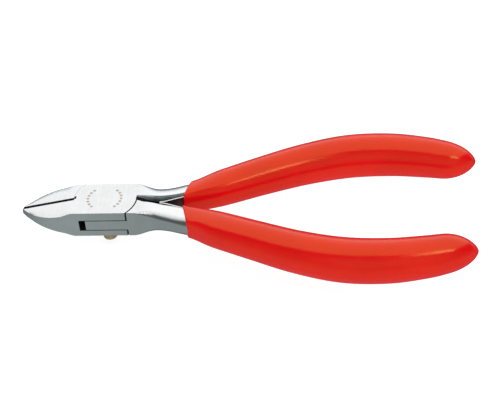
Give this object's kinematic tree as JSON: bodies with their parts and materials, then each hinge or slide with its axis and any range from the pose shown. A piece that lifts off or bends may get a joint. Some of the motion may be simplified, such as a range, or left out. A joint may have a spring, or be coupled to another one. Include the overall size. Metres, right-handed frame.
{
  "type": "flush cutter",
  "caption": "Small hand cutter with a sprung box joint, tapered jaws with straight edges, and dipped handle grips.",
  "frame": {"origin": "on the pivot axis, in the back face of the joint, at the root of the pivot stud", "axes": "+X from the pivot towards the ends of the handles, +Y towards the outer arm's handle, +Z out of the joint's front face; the jaws are closed"},
  "size_m": [0.125, 0.0562, 0.0158],
  "materials": {
    "steel": "fine brushed",
    "brass": "satin",
    "spring_steel": "smooth",
    "red_plastic": "glossy"
  },
  "bodies": {
    "outer_half": {"outer_arm": "steel", "pivot_pin": "steel", "pivot_stud": "brass", "outer_spring": "spring_steel", "outer_spring_rivet": "spring_steel", "outer_grip": "red_plastic"},
    "inner_half": {"inner_arm": "steel", "inner_spring": "spring_steel", "inner_spring_rivet": "spring_steel", "inner_grip": "red_plastic"}
  },
  "joints": [
    {"name": "pivot", "type": "hinge", "parent": "outer_half", "child": "inner_half", "pos_m": [0, 0, 0.00405], "axis": [0, 0, -1], "range_deg": [0, 16], "stiffness_Nm_per_rad": 1, "springref_deg": 17.19, "deforming": ["outer_spring", "inner_spring"]}
  ]
}
